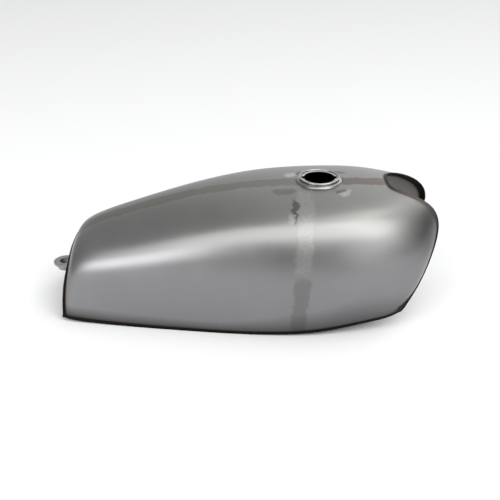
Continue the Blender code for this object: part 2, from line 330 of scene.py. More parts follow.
# Deep-drawing steel, rubbed down by hand with fine abrasive: a satin metal whose reflections are
# soft, with faint scratches along its length and a cloudy film of oil. Grit leaves scratches about
# 0.05 mm wide, too fine to show, so they are drawn about 2 mm wide and ten times as long.
steel, steel_shader = start_material("rubbed_down_deep_drawing_steel", "848485", 1.0, 0.3)
SMOOTH = {"interpolation_type": "SMOOTHSTEP"}
COLOUR_MIX = {"data_type": "RGBA"}
steel_place = add_node(steel, "TexCoord").outputs["Object"]
along, aside, height = add_node(steel, "SeparateXYZ", {}, [(steel_place, 0)]).outputs
off_middle = add_node(steel, "Math", {"operation": "ABSOLUTE"}, [(aside, 0)])
from_fold = add_node(steel, "Attribute", {"attribute_name": "from_fold"}).outputs["Fac"]
from_seam = add_node(steel, "Attribute", {"attribute_name": "from_seam"}).outputs["Fac"]

clouds = add_node(steel, "TexNoise", {"Scale": per(45.5), "Detail": 3.0}, [(steel_place, 0)])
lengthwise = add_node(steel, "Mapping", {"Scale": (0.1, 1.0, 1.0)}, [(steel_place, 0)])
grain = add_node(steel, "TexNoise", {"Scale": per(2.38), "Detail": 4.0}, [(lengthwise, 0)])
streaks = add_node(steel, "TexNoise", {"Scale": per(3.85), "Detail": 2.0}, [(steel_place, 0)])
tone = add_node(steel, "Mix", {**COLOUR_MIX, 6: rgb("818183"), 7: rgb("89898B")}, [(clouds, 0)])

# The crown is tinted a touch olive towards the top, a painted tint of the warm reflection it
# carries; the sides are neutral.
oil_film = add_node(steel, "MapRange", {**SMOOTH, 1: 75 * MM, 2: 185 * MM}, [(height, 0)])
OIL_TINT = {**COLOUR_MIX, "blend_type": "MULTIPLY", 7: rgb("FAFAF1")}
tone = add_node(steel, "Mix", OIL_TINT, [(oil_film, 0), (tone, 6)])

# The grinder leaves ragged edges, so the places of the ground bands wander by a few millimetres.
CRUMBS = {"Scale": per(13.3), "Detail": 5.0, "Roughness": 0.65}
crumbs = add_node(steel, "TexNoise", CRUMBS, [(steel_place, 0)])
shake = add_node(steel, "MapRange", {3: -10 * MM, 4: 10 * MM, "clamp": False}, [(crumbs, 0)])
ragged_along = add_node(steel, "Math", {"operation": "ADD"}, [(along, 0), (shake, 1)])
ragged_aside = add_node(steel, "Math", {"operation": "ADD"}, [(aside, 0), (shake, 1)])

# Crest weld: a stripe 25 mm wide that lies 4 mm to the right, dark olive behind the filler and
# brown before it.
off_crest = add_node(steel, "Math", {"operation": "ADD", 1: 4 * MM}, [(ragged_aside, 0)])
off_crest = add_node(steel, "Math", {"operation": "ABSOLUTE"}, [(off_crest, 0)])
crest = add_node(steel, "MapRange", {**SMOOTH, 1: 15 * MM, 2: 10 * MM}, [(off_crest, 0)])
on_crown = add_node(steel, "MapRange", {1: 84 * MM, 2: 98 * MM}, [(height, 0)])
crest = add_node(steel, "Math", {"operation": "MULTIPLY"}, [(crest, 0), (on_crown, 1)])
FILLER_FRONT = {1: world((388, 0, 0)).x, 2: world((402, 0, 0)).x}
before_filler = add_node(steel, "MapRange", FILLER_FRONT, [(along, 0)])
CREST_TONES = {**COLOUR_MIX, 6: rgb("71706A"), 7: rgb("675E57")}
crest_tone = add_node(steel, "Mix", CREST_TONES, [(before_filler, 0)])
crest_share = add_node(steel, "Math", {"operation": "MULTIPLY", 1: 0.9}, [(crest, 0)])
tone = add_node(steel, "Mix", COLOUR_MIX, [(crest_share, 0), (tone, 6), (crest_tone, 7)])

# Side welds: a ground band 20 mm wide that leans forward with height. Above, it carries a painted
# highlight, and below, painted shade makes it dull. It stops short of the crest stripe.
BAND_FOOT, BAND_HEAD = world((337, 0, 0)), world((347, 0, 175))
LEAN = {1: BAND_FOOT.z, 2: BAND_HEAD.z, 3: BAND_FOOT.x, 4: BAND_HEAD.x}
band_middle = add_node(steel, "MapRange", LEAN, [(height, 0)])
off_band = add_node(steel, "Math", {"operation": "SUBTRACT"}, [(ragged_along, 0), (band_middle, 1)])
off_band = add_node(steel, "Math", {"operation": "ABSOLUTE"}, [(off_band, 0)])
band = add_node(steel, "MapRange", {**SMOOTH, 1: 13 * MM, 2: 8 * MM}, [(off_band, 0)])
beside_crest = add_node(steel, "MapRange", {1: 30 * MM, 2: 44 * MM}, [(off_middle, 0)])
band = add_node(steel, "Math", {"operation": "MULTIPLY"}, [(band, 0), (beside_crest, 1)])
# Painted shade on the band below, and a painted sheen above.
low_down = add_node(steel, "MapRange", {**SMOOTH, 1: 108 * MM, 2: 88 * MM}, [(height, 0)])
BRIGHT_TONES = {**COLOUR_MIX, 6: rgb("7F7F7E"), 7: rgb("A0A09D")}
bright_tone = add_node(steel, "Mix", BRIGHT_TONES, [(streaks, 0)])
band_tone = add_node(steel, "Mix", {**COLOUR_MIX, 7: rgb("6D6D6C")}, [(low_down, 0), (bright_tone, 6)])
band_share = add_node(steel, "Math", {"operation": "MULTIPLY", 1: 0.65}, [(band, 0)])
tone = add_node(steel, "Mix", COLOUR_MIX, [(band_share, 0), (tone, 6), (band_tone, 7)])

# Ground patches round the filler, each an oval where the disc touched down: three are bright, and
# the others are dark with burnt oil.
ragged_place = add_node(steel, "CombineXYZ", {}, [(ragged_along, 0), (ragged_aside, 1)])
patches = None
for x, y, long, wide, turn, code in (
    (330, 23, 9, 9, 20, "B4B3AE"),
    (345, 28, 7, 9, 10, "5C5C56"),
    (392, 30, 20, 6, -6, "595953"),
    (403, -43, 8, 12, -20, "A9A8A4"),
    (397, -39, 11, 4, 25, "594F48"),
    (318, -36, 18, 10, -5, "666660"),
    (332, -79, 4.5, 23, -2, "4A4A45"),
    (328, -93, 4, 9, -4, "999893"),
):
    oval = {"vector_type": "TEXTURE", 1: world((x, y, 0)), 2: (0, 0, math.radians(turn))}
    oval[3] = (long * MM, wide * MM, 1)
    in_oval = add_node(steel, "Mapping", oval, [(ragged_place, 0)])
    reach = add_node(steel, "VectorMath", {"operation": "LENGTH"}, [(in_oval, 0)]).outputs["Value"]
    patch = add_node(steel, "MapRange", {**SMOOTH, 1: 1.15, 2: 0.7, 4: 0.75}, [(reach, 0)])
    tone = add_node(steel, "Mix", {**COLOUR_MIX, 7: rgb(code)}, [(patch, 0), (tone, 6)])
    if patches:
        patch = add_node(steel, "Math", {"operation": "MAXIMUM"}, [(patch, 0), (patches, 1)])
    patches = patch

# Heat of the pinch weld: a straw line at the fold. The dark strip that hangs over the seam and
# widens towards the front is painted shade, for the darker floor that the low sides mirror, which
# is a guess.
heat = add_node(steel, "MapRange", {**SMOOTH, 1: 4.5, 2: 0.0, 4: 0.6}, [(from_fold, 0)])
tone = add_node(steel, "Mix", {**COLOUR_MIX, 7: rgb("75675D")}, [(heat, 0), (tone, 6)])
SOOT_WIDTHS = {1: world((230, 0, 0)).x, 2: world((420, 0, 0)).x, 3: 16, 4: 50}
soot_width = add_node(steel, "MapRange", SOOT_WIDTHS, [(along, 0)])
soot = add_node(steel, "MapRange", {2: 0.0, 4: 0.7}, [(from_seam, 0), (soot_width, 1)])
tone = add_node(steel, "Mix", {**COLOUR_MIX, 7: rgb("333231")}, [(soot, 0), (tone, 6)])

# A soft dark patch on the nose at each side of the front notch: a painted dark reflection, from a
# source that is not known.
either_side = add_node(steel, "CombineXYZ", {}, [(along, 0), (off_middle, 1), (height, 2)])
HAZE_MIDDLE = {"operation": "DISTANCE", 1: world((524, 66, 128))}
haze = add_node(steel, "VectorMath", HAZE_MIDDLE, [(either_side, 0)]).outputs["Value"]
haze = add_node(steel, "MapRange", {**SMOOTH, 1: 46 * MM, 2: 8 * MM, 4: 0.6}, [(haze, 0)])
tone = add_node(steel, "Mix", {**COLOUR_MIX, 7: rgb("474745")}, [(haze, 0), (tone, 6)])

# The lip is drawn near black, and less dark at the top of the notch.
scale = add_node(steel, "MapRange", {1: 0.4, 2: -0.8}, [(from_fold, 0)])
NOTCH_START = {1: world((450, 0, 0)).x, 2: world((475, 0, 0)).x}
thin_scale = add_node(steel, "MapRange", NOTCH_START, [(along, 0)])
high_up = add_node(steel, "MapRange", {**SMOOTH, 1: 115 * MM, 2: 155 * MM}, [(height, 0)])
thin_scale = add_node(steel, "Math", {"operation": "MULTIPLY"}, [(thin_scale, 0), (high_up, 1)])
SCALE_TONES = {**COLOUR_MIX, 6: rgb("1D1B1A"), 7: rgb("4C4A47")}
scale_tone = add_node(steel, "Mix", SCALE_TONES, [(thin_scale, 0)])
tone = add_node(steel, "Mix", COLOUR_MIX, [(scale, 0), (tone, 6), (scale_tone, 7)])
link(steel, tone, steel_shader, "Base Color")

# What is ground, and the dark lip, is rougher than the rubbed-down sheet, and ground steel has deeper
# marks.
rough = add_node(steel, "MapRange", {3: 0.27, 4: 0.35}, [(clouds, 0)])
for share, more in ((grain, 0.04), (crest, 0.08), (band, 0.05), (patches, 0.06), (scale, 0.2)):
    rough = add_node(steel, "Math", {"operation": "MULTIPLY_ADD", 1: more}, [(share, 0), (rough, 2)])
link(steel, rough, steel_shader, "Roughness")
SCRATCH_DEPTH = {"Strength": 0.1, "Distance": 0.1 * MM}
relief = add_node(steel, "Bump", SCRATCH_DEPTH, [(grain, "Height")])
ground = add_node(steel, "Math", {"operation": "MAXIMUM"}, [(band, 0), (patches, 1)])
ground = add_node(steel, "Math", {"operation": "MULTIPLY"}, [(ground, 0), (streaks, 1)])
GROUND_DEPTH = {"Strength": 0.12, "Distance": 0.25 * MM}
relief = add_node(steel, "Bump", GROUND_DEPTH, [(ground, "Height"), (relief, "Normal")])
link(steel, relief, steel_shader, "Normal")

for name, side, end in (
    ("skin_front_right", -1, 1),
    ("skin_front_left", 1, 1),
    ("skin_rear_right", -1, -1),
    ("skin_rear_left", 1, -1),
):
    panel = copy_of(whole_skin, "pressed_" + name)
    cut_away(panel, (0, side * HALF_WELD, 0), (0, -side, 0))
    cut_away(panel, (SIDE_WELD_X + end * HALF_WELD, 0, 0), (-end, 0, 0))
    thicken(panel)
    combine(panel, filler_cutter)
    finish_piece(panel, steel, "bare_steel", name)

# Butt welds between the panels: steel beads, ground off flush with the sheet on the outside. The
# grinding marks are wider than the beads and run over the panels on both sides.
LEFT, RIGHT, FRONT, REAR = (0, 1, 0), (0, -1, 0), (1, 0, 0), (-1, 0, 0)
SIDE_WELD_TOP_Y = 6
for name, planes in (
    ("weld_top_front", (((0, HALF_WELD, 0), LEFT), ((0, -HALF_WELD, 0), RIGHT), (FILLER, REAR))),
    ("weld_top_rear", (((0, HALF_WELD, 0), LEFT), ((0, -HALF_WELD, 0), RIGHT), (FILLER, FRONT))),
    ("weld_side_right", (((0, -SIDE_WELD_TOP_Y, 0), LEFT),)),
    ("weld_side_left", (((0, SIDE_WELD_TOP_Y, 0), RIGHT),)),
):
    bead = copy_of(whole_skin, "ground_" + name)
    for point, normal in planes:
        cut_away(bead, point, normal)
    if "side" in name:
        cut_away(bead, (SIDE_WELD_X + HALF_WELD, 0, 0), FRONT)
        cut_away(bead, (SIDE_WELD_X - HALF_WELD, 0, 0), REAR)
    thicken(bead)
    combine(bead, filler_cutter)
    finish_piece(bead, steel, "ground_weld", name)
bpy.data.objects.remove(whole_skin)
bpy.data.objects.remove(filler_cutter)

# Inner pan. Two pressed halves of the same sheet that close the tank from inside: a lip against the
# skin's lip, a tight fold into the tank, then the rear wall, the floor and the front apron.
TUNNEL_REAR = (
    (22, 0, 42), (22, 17, 41.5), (21.5, 31, 38), (21, 38, 31),
    (19, 40, 25), (17, 40, 20), (16, 40, 17), (15, 40, 14),
)
TUNNEL_FRONT = (
    (440, 0, 118), (440, 18, 117), (440, 34, 111), (440, 43, 96),
    (440, 45, 78), (440, 45, 62), (440, 45, 50), (440, 45, 42),
)
GAP = 0.3  # between the pan's lip and the skin's
CORNER_GAP = 1.4  # more of it at the front bottom corner, where both sheets turn two ways
CORNER_SPREAD = 0.8  # how many loop points away that dies out
FOLD_START, FOLD_END = (3.0, 4.0), (9.0, 6.5)  # inwards from the lip, and back into the tank
WALL_SHARES = (0.35, 0.68, 1.0)  # places of the rows between the fold and the tunnel's mouth
FOLD_CLIMB, CLIMB_STEP, CLIMB_LIMIT = 4.0, 2.4, 3.0
FLOOR_RISE_POWER = 2.5
middle = (columns - 1) // 2
mouth_rear = [world(p) for p in TUNNEL_REAR]
mouth_front = [world(p) for p in TUNNEL_FRONT]
seam_start, seam_end = cage[0][0].x, cage[rows - 1][0].x
floor_line = []
for i in range(rows):
    share = (cage[i][0].x - seam_start) / (seam_end - seam_start)
    point = mouth_rear[-1].lerp(mouth_front[-1], share)
    rise = mouth_front[-1].z - mouth_rear[-1].z
    point.z = mouth_rear[-1].z + rise * share**FLOOR_RISE_POWER
    floor_line.append(point)

# One loop of edge points: down the rear rim, along the left seam, and up the front rim.
loop = [(0, j, rear_lip[j], None) for j in range(middle, 0, -1)]
loop += [(i, 0, left_lip[i], None) for i in range(rows)]
loop += [(rows - 1, j, front_lip[j], None) for j in range(1, middle + 1)]
loop[middle] = (0, 0, rear_lip[0], left_lip[0])
corner_front = middle + rows - 1
loop[corner_front] = (rows - 1, 0, front_lip[0], left_lip[rows - 1])
loop_inner = mouth_rear[:-1] + floor_line + mouth_front[-2::-1]
pan_rows = [[] for _ in range(4 + len(WALL_SHARES))]
for n, ((i, j, lip, other_lip), inner) in enumerate(zip(loop, loop_inner)):
    ease = CORNER_GAP * math.exp(-(((n - corner_front) / CORNER_SPREAD) ** 2))
    root = cage[i][j] - outward(i, j) * (SHEET + GAP + ease) * MM
    tip = root + lip + (other_lip if other_lip else Vector())
    tip.z = max(tip.z, 2 * FLOOR_GAP * MM)
    inward = (inner - root).normalized()
    back = -lip.normalized() - (other_lip.normalized() if other_lip else Vector())
    back -= back.dot(inward) * inward
    folded = [root + (a * inward + b * back) * MM for a, b in (FOLD_START, FOLD_END)]
    if n < middle:
        # Down the rear rim the fold stays clear of the seam's corner.
        climb = FOLD_CLIMB + min(CLIMB_STEP * (middle - n), CLIMB_LIMIT)
        for point in folded:
            point.z = max(point.z, cage[0][0].z + climb * MM)
    points = [tip, root] + folded + [folded[1].lerp(inner, share) for share in WALL_SHARES]
    for row, point in zip(pan_rows, points):
        row.append(point)

# Cold-rolled sheet with its mill finish: a dull grey with brown heat stains by the welds, and a
# matt rolling grain that runs across, drawn about 2 mm wide because the real one is too fine.
mill, mill_shader = start_material("cold_rolled_mill_finish_steel", "6C6A6A", 1.0, 0.5)
mill_place = add_node(mill, "TexCoord").outputs["Object"]
stains = add_node(mill, "TexNoise", {"Scale": per(35.7), "Detail": 4.0}, [(mill_place, 0)])
mill_tone = add_node(mill, "Mix", {**COLOUR_MIX, 6: rgb("646363"), 7: rgb("757372")}, [(stains, 0)])
mill_fold = add_node(mill, "Attribute", {"attribute_name": "from_fold"}).outputs["Fac"]
mill_heat = add_node(mill, "MapRange", {**SMOOTH, 1: 16.0, 2: 6.0, 4: 0.5}, [(mill_fold, 0)])
mill_tone = add_node(mill, "Mix", {**COLOUR_MIX, 7: rgb("5E544D")}, [(mill_heat, 0), (mill_tone, 6)])
# Near black within a few millimetres of the fold.
mill_scale = add_node(mill, "MapRange", {**SMOOTH, 1: 9.0, 2: 3.0}, [(mill_fold, 0)])
mill_tone = add_node(mill, "Mix", {**COLOUR_MIX, 7: rgb("1F1D1C")}, [(mill_scale, 0), (mill_tone, 6)])
link(mill, mill_tone, mill_shader, "Base Color")
mill_rough = add_node(mill, "MapRange", {3: 0.42, 4: 0.58}, [(stains, 0)])
link(mill, mill_rough, mill_shader, "Roughness")
crosswise = add_node(mill, "Mapping", {"Scale": (1.0, 0.12, 1.0)}, [(mill_place, 0)])
mill_grain = add_node(mill, "TexNoise", {"Scale": per(2.08), "Detail": 3.0}, [(crosswise, 0)])
GRAIN_DEPTH = {"Strength": 0.12, "Distance": 0.1 * MM}
mill_relief = add_node(mill, "Bump", GRAIN_DEPTH, [(mill_grain, "Height")])
link(mill, mill_relief, mill_shader, "Normal")


def turn_faces(piece):
    """Makes the faces look the other way."""
    pick(piece)
    bpy.ops.object.mode_set(mode="EDIT")
    bpy.ops.mesh.select_all(action="SELECT")
    bpy.ops.mesh.flip_normals()
    bpy.ops.object.mode_set(mode="OBJECT")


FOLD_DISTANCES = (-LIP, 0.0, 5.0, 11.0, 30.0, 45.0, 60.0)  # of the pan's rows, for the finish
PAN_CREASE = 0.5
OUTLET = (120.0, 66.0)
OUTLET_HOLE_R = 9.0
for name, side in (("pan_left", 1), ("pan_right", -1)):
    pan = shape_grid(
        "pressed_" + name,
        len(pan_rows),
        len(loop),
        lambda i, j: Vector((pan_rows[i][j].x, side * pan_rows[i][j].y, pan_rows[i][j].z)),
        ((1,), (middle, corner_front)),
        3,
        (("from_fold", lambda i, j: FOLD_DISTANCES[i]),),
        PAN_CREASE,
    )
    if side > 0:
        turn_faces(pan)
    cut_away(pan, (0, side * HALF_WELD, 0), (0, -side, 0))
    thicken(pan)
    floor_hole = add_round("floor_hole", (OUTLET[0], side * OUTLET[1], 10), OUTLET_HOLE_R, 30, 48)
    combine(pan, floor_hole)
    bpy.data.objects.remove(floor_hole)
    finish_piece(pan, mill, "pan_steel", name)

# The pan halves meet in butt welds down the rear wall and down the front apron. The beads are steel,
# laid before the skin goes on, and ground flush with the sheet.
for name, columns_taken, facing in (
    ("weld_rear_wall", (0, 1), 1),
    ("weld_front_apron", (-1, -2), -1),
):
    near, far = ([row[c] for row in pan_rows] for c in columns_taken)
    bead = shape_grid(
        "ground_" + name,
        len(pan_rows),
        3,
        lambda i, j: Vector((near[i].x, 0, near[i].z)) if j == 1
        else Vector((far[i].x, (1 - j) * far[i].y, far[i].z)),
        ((1,), ()),
        4,
        (("from_fold", lambda i, j: FOLD_DISTANCES[i]),),
        PAN_CREASE,
    )
    if facing < 0:
        turn_faces(bead)
    cut_away(bead, (0, HALF_WELD, 0), LEFT)
    cut_away(bead, (0, -HALF_WELD, 0), RIGHT)
    thicken(bead)
    finish_piece(bead, mill, "ground_weld", name)

# Frame tunnel: one folded channel of the same sheet, welded to the pan halves along both bottom
# edges. It straddles the frame's backbone and rises a little in the middle to clear it.
TUNNEL_RISE = 14.0
TUNNEL_STATIONS = 7
TUNNEL_INSET = 1.0  # it lies this far inside the pan's mouths
END_SETBACK = 1.2
CLEAR_OF_HEAT = 30.0
channel = []
for n in range(TUNNEL_STATIONS):
    share = n / (TUNNEL_STATIONS - 1)
    half = []
    for m, (p, q) in enumerate(zip(mouth_rear, mouth_front)):
        point = p.lerp(q, share)
        point.z += math.sin(share * math.pi) * TUNNEL_RISE * (1 - m / (len(mouth_rear) - 1)) ** 0.5 * MM
        if point.y > 20 * MM:
            point.y -= TUNNEL_INSET * MM
        if point.y <= 30 * MM:
            point.z -= TUNNEL_INSET * MM
        point.x += END_SETBACK * (1 - 2 * share) * MM
        half.append(point)
    channel.append(mirrored(half))
tunnel = shape_grid(
    "folded_tunnel",
    TUNNEL_STATIONS,
    len(channel[0]),
    lambda i, j: channel[i][j],
    ((), ()),
    3,
    (("from_fold", lambda i, j: CLEAR_OF_HEAT),),
)
turn_faces(tunnel)
thicken(tunnel)
finish_piece(tunnel, mill, "pan_steel", "tunnel")


def turned(name, profile, centre, steps=128):
    """A turned piece: the profile of (radius, height) points is spun about the upright axis."""
    deselect()
    bpy.ops.mesh.primitive_circle_add(vertices=len(profile), radius=1)
    made = bpy.context.object
    made.name = name
    for v, (radius, level) in zip(made.data.vertices, profile):
        v.co = (radius * MM, 0, level * MM)
    bpy.ops.object.mode_set(mode="EDIT")
    bpy.ops.mesh.select_all(action="SELECT")
    bpy.ops.mesh.spin(steps=steps, angle=math.tau, center=(0, 0, 0), axis=(0, 0, 1))
    bpy.ops.mesh.select_all(action="SELECT")
    bpy.ops.mesh.remove_doubles(threshold=1e-6)
    bpy.ops.mesh.normals_make_consistent(inside=False)
    bpy.ops.object.mode_set(mode="OBJECT")
    made.location = world(centre)
    set_place(made)
    return made


def ease_edges(piece, millimetres, segments=2, angle=35):
    """Breaks the sharp edges, as a press or a file leaves them."""
    bevel = piece.modifiers.new("Edges", "BEVEL")
    bevel.width = millimetres * MM
    bevel.segments = segments
    bevel.limit_method = "ANGLE"
    bevel.angle_limit = math.radians(angle)
    apply_modifiers(piece)


# Filler base ring: a turned steel ring, let into the panels and welded round. The disc has blended
# its edge into the skin.
RING_FOOT, RING_BORE_R = -8.0, 28.2
base_ring = turned(
    "turned_filler_base_ring",
    [
        (BASE_RING_R, 1.0),
        (BASE_RING_R, RING_FOOT),
        (RING_BORE_R, RING_FOOT),
        (RING_BORE_R, 3.8),
        (29.8, 3.7),
        (31.6, 2.7),
    ],
    FILLER,
)
ease_edges(base_ring, 0.35)

# Thin zinc plate over turned steel: bright and neutral, with turning marks about 0.5 mm apart, as
# coarse as they need to be to show, and smears from handling that change its gloss.
bright, bright_shader = start_material("turned_zinc_plated_steel", "A9A9A8", 1.0, 0.26)
bright_place = add_node(bright, "TexCoord").outputs["Object"]
FILLER_MIDDLE = {"Location": [-c for c in world(FILLER)]}
centred = add_node(bright, "Mapping", FILLER_MIDDLE, [(bright_place, 0)])
ring_x, ring_y, ring_z = add_node(bright, "SeparateXYZ", {}, [(centred, 0)]).outputs
flat = add_node(bright, "CombineXYZ", {}, [(ring_x, 0), (ring_y, 1)])
radius = add_node(bright, "VectorMath", {"operation": "LENGTH"}, [(flat, 0)]).outputs["Value"]
rings = add_node(bright, "CombineXYZ", {}, [(radius, 0), (ring_z, 1)])
turning = add_node(bright, "TexNoise", {"Scale": per(0.455), "Detail": 1.0}, [(rings, 0)])
smears = add_node(bright, "TexNoise", {"Scale": per(9.1), "Detail": 4.0}, [(bright_place, 0)])
PLATE_TONES = {**COLOUR_MIX, 6: rgb("8E8E8C"), 7: rgb("BDBDBB")}
plate_tone = add_node(bright, "Mix", PLATE_TONES, [(smears, 0)])
# Where the disc has blended the ring into the panels it is as dull as they are.
blended = add_node(bright, "MapRange", {**SMOOTH, 1: 29.6 * MM, 2: 30.6 * MM}, [(radius, 0)])
DULLED = {**COLOUR_MIX, 7: rgb("858583")}
plate_tone = add_node(bright, "Mix", DULLED, [(blended, 0), (plate_tone, 6)])
# The bore is drawn black from the cam ring's lip down, painted shade for the dark down the neck,
# which is a guess.
MOUTH = {1: 22.4 * MM, 2: 23.4 * MM, 3: 5.3 * MM, 4: 4.2 * MM}
mouth_level = add_node(bright, "MapRange", MOUTH, [(radius, 0)])
deep = add_node(bright, "Math", {"operation": "LESS_THAN"}, [(ring_z, 0), (mouth_level, 1)])
in_bore = add_node(bright, "MapRange", {1: 27.6 * MM, 2: 27.0 * MM}, [(radius, 0)])
deep = add_node(bright, "Math", {"operation": "MULTIPLY"}, [(deep, 0), (in_bore, 1)])
plate_tone = add_node(bright, "Mix", {**COLOUR_MIX, 7: rgb("0C0C0D")}, [(deep, 0), (plate_tone, 6)])
link(bright, plate_tone, bright_shader, "Base Color")
plate_rough = add_node(bright, "MapRange", {3: 0.2, 4: 0.38}, [(smears, 0)])
link(bright, plate_rough, bright_shader, "Roughness")
TURNING_DEPTH = {"Strength": 0.15, "Distance": 0.05 * MM}
plate_relief = add_node(bright, "Bump", TURNING_DEPTH, [(turning, "Height")])
link(bright, plate_relief, bright_shader, "Normal")
finish_piece(base_ring, bright, "bare_steel", "filler_base_ring", angle=50)

# Filler neck: a drawn tube pushed into the ring, its rim rolled outwards for the cap's seal. It is
# zinc plated.
RIM_R, ROLL_R, RIM_LEVEL = 29.0, 1.1, 6.0
NECK_R, NECK_BORE_R, NECK_FOOT = 27.8, 26.8, -16.0
roll = [
    (RIM_R - ROLL_R + ROLL_R * math.cos(a), RIM_LEVEL + ROLL_R * math.sin(a))
    for a in (math.radians(15 * n) for n in range(12, -7, -1))
]
tube = [(NECK_R, 4.4), (NECK_R, NECK_FOOT), (NECK_BORE_R, NECK_FOOT)]
neck = turned("rolled_filler_neck", roll + tube, FILLER)
finish_piece(neck, bright, "plated_steel", "filler_neck", angle=50)

# Bayonet cam ring inside the neck: its inner lip carries the cap's two lugs, which drop through a
# notch at the front and one at the rear, and it slopes down to the bore. It is turned and plated.
CAM_R, SKIRT_R, BORE_R, CAM_FOOT, CAM_TOP = 26.4, 22.8, 21.4, -4.0, 5.8
NOTCH_R, NOTCH_WIDTH = 25.6, 10.0
cam = turned(
    "bayonet_cam_ring",
    [
        (CAM_R, CAM_TOP),
        (CAM_R, 4.6),
        (SKIRT_R, 4.2),
        (SKIRT_R, CAM_FOOT),
        (BORE_R, CAM_FOOT),
        (BORE_R, 4.6),
        (22.2, 5.3),
        (24.0, 5.6),
    ],
    FILLER,
)
for end in (-1, 1):
    lug_x = FILLER[0] + end * (NOTCH_R - NOTCH_WIDTH / 2)
    lug_way = add_round("lug_way", (lug_x, 0, FILLER[2]), NOTCH_WIDTH / 2, 24, 48)
    combine(cam, lug_way)
    bpy.data.objects.remove(lug_way)
ease_edges(cam, 0.3)
finish_piece(cam, bright, "plated_steel", "filler_cam_ring")

# Rear mount: an eye tab of 3 mm strip, bent up and welded to the rear wall, and a collar pressed
# under the eye. Both are plain hot-rolled steel with filed edges. Its mill scale has been pickled
# off, which leaves a dull grey mottled every few millimetres under a thin film of oil.
bracket, bracket_shader = start_material("hot_rolled_bracket_steel", "77777A", 1.0, 0.42)
bracket_place = add_node(bracket, "TexCoord").outputs["Object"]
mottle = add_node(bracket, "TexNoise", {"Scale": per(6.25), "Detail": 4.0}, [(bracket_place, 0)])
BRACKET_TONES = {**COLOUR_MIX, 6: rgb("7C7C7D"), 7: rgb("ABABAA")}
bracket_tone = add_node(bracket, "Mix", BRACKET_TONES, [(mottle, 0)])
link(bracket, bracket_tone, bracket_shader, "Base Color")
bracket_rough = add_node(bracket, "MapRange", {3: 0.32, 4: 0.55}, [(mottle, 0)])
link(bracket, bracket_rough, bracket_shader, "Roughness")
MOTTLE_DEPTH = {"Strength": 0.2, "Distance": 0.1 * MM}
bracket_relief = add_node(bracket, "Bump", MOTTLE_DEPTH, [(mottle, "Height")])
link(bracket, bracket_relief, bracket_shader, "Normal")


def arc(centre_u, centre_v, radius, start, end, steps=24):
    """Points along an arc between two angles in degrees."""
    turns = (math.radians(start + (end - start) * n / steps) for n in range(steps + 1))
    return [(centre_u + radius * math.cos(a), centre_v + radius * math.sin(a)) for a in turns]


def cut_from_strip(name, outline, push):
    """A flat blank with the outline's points, pushed out to its thickness."""
    deselect()
    bpy.ops.mesh.primitive_circle_add(vertices=len(outline), radius=1, fill_type="NGON")
    made = bpy.context.object
    made.name = name
    for v, point in zip(made.data.vertices, outline):
        v.co = world(point)
    bpy.ops.object.mode_set(mode="EDIT")
    bpy.ops.mesh.select_all(action="SELECT")
    bpy.ops.mesh.extrude_region_move(TRANSFORM_OT_translate={"value": tuple(c * MM for c in push)})
    bpy.ops.mesh.select_all(action="SELECT")
    bpy.ops.mesh.normals_make_consistent(inside=False)
    bpy.ops.object.mode_set(mode="OBJECT")
    return made


TAB_R, TAB_HOLE_R, TAB_Z, EYE_X, WALL_X, STRIP = 17.0, 8.5, 55.0, -3.1, 19.7, 3.0
TAB_HEIGHT, TAB_BEND = 21.5, 4.0
BEYOND_EYE = EYE_X - TAB_R - 3.0
low = TAB_Z - STRIP / 2
bend = (WALL_X - TAB_BEND, low + TAB_BEND)
side_view = [(BEYOND_EYE, low)] + arc(*bend, TAB_BEND, -90, 0, 8)
side_view += [(WALL_X, low + TAB_HEIGHT), (WALL_X - STRIP, low + TAB_HEIGHT)]
side_view += arc(*bend, TAB_BEND - STRIP, 0, -90, 8) + [(BEYOND_EYE, low + STRIP)]
side_points = [(x, -TAB_R, z) for x, z in side_view]
tab = cut_from_strip("bent_rear_mount_tab", side_points, (0, 2 * TAB_R, 0))
top_view = arc(EYE_X, 0, TAB_R, 90, 270, 32) + [(WALL_X + 5, -TAB_R), (WALL_X + 5, TAB_R)]
blank = cut_from_strip("blank", [(x, y, TAB_Z - 15) for x, y in top_view], (0, 0, 60))
combine(tab, blank, "INTERSECT")
eye = add_round("eye", (EYE_X, 0, TAB_Z), TAB_HOLE_R, 20, 64)
combine(tab, eye)
for used in (blank, eye):
    bpy.data.objects.remove(used)
ease_edges(tab, 0.5, 3)
finish_piece(tab, bracket, "bracket_steel", "rear_mount_tab")

COLLAR_R, COLLAR_TOP, COLLAR_FOOT = 11.5, -1.8, -9.5
collar = turned(
    "pressed_rear_mount_collar",
    [
        (COLLAR_R, COLLAR_TOP),
        (COLLAR_R, COLLAR_FOOT),
        (TAB_HOLE_R, COLLAR_FOOT),
        (TAB_HOLE_R, COLLAR_TOP),
    ],
    (EYE_X, 0, TAB_Z),
)
ease_edges(collar, 0.5, 3)
finish_piece(collar, bracket, "bracket_steel", "rear_mount_collar")

# Front mounts: cups of 2.5 mm strip bent to a U and welded inside the tunnel. They slide over rubber
# buffers on the frame, so their open ends face forwards.
CUP_X, CUP_Z, CUP_R, CUP_STRIP, CUP_WIDTH = 395.0, 74.0, 16.0, 2.5, 13.5
CUP_BEND_X, CUP_MOUTH_X = CUP_X - 4, CUP_X + 17
cup_inside = CUP_R - CUP_STRIP
cup_view = [(CUP_MOUTH_X, CUP_Z + CUP_R)] + arc(CUP_BEND_X, CUP_Z, CUP_R, 90, 270)
cup_view += [(CUP_MOUTH_X, CUP_Z - CUP_R), (CUP_MOUTH_X, CUP_Z - cup_inside)]
cup_view += arc(CUP_BEND_X, CUP_Z, cup_inside, 270, 90) + [(CUP_MOUTH_X, CUP_Z + cup_inside)]
for name, start in (("front_mount_cup_right", -27.0 - CUP_WIDTH), ("front_mount_cup_left", 27.0)):
    cup = cut_from_strip("bent_" + name, [(x, start, z) for x, z in cup_view], (0, CUP_WIDTH, 0))
    ease_edges(cup, 0.4, 3)
    finish_piece(cup, bracket, "bracket_steel", name)

